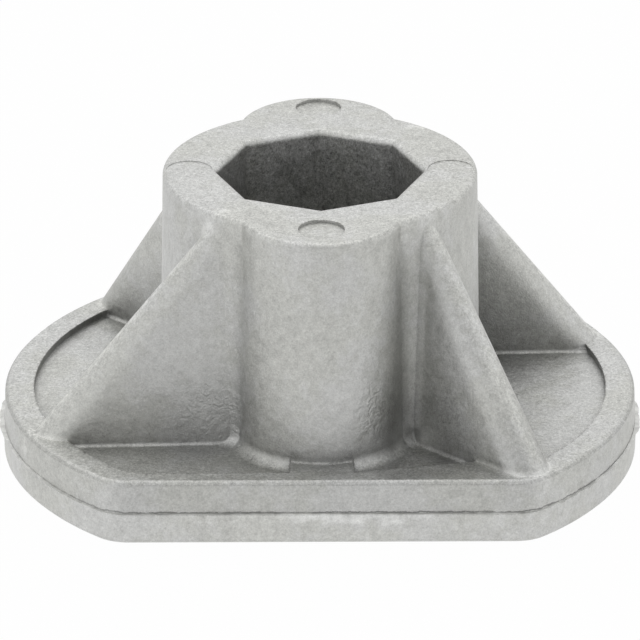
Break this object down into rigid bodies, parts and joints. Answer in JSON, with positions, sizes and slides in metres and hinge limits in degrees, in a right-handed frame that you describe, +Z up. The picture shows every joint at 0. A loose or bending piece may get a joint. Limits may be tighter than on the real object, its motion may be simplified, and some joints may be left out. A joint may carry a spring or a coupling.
{
  "type": "mower blade adapter",
  "caption": "Die-cast hub that joins a mower blade to its drive shaft: a flat base with round ends, a lobed barrel with an octagonal socket, and triangular bracing ribs.",
  "frame": {"origin": "middle of the base's underside, on the socket's axis", "axes": "+X along the base, +Y across it, +Z up along the socket's axis, out of the barrel's top"},
  "size_m": [0.0848, 0.0644, 0.0396],
  "materials": {
    "casting": "as cast, matte"
  },
  "bodies": {
    "root": {"blade_adapter": "casting"}
  },
  "joints": []
}
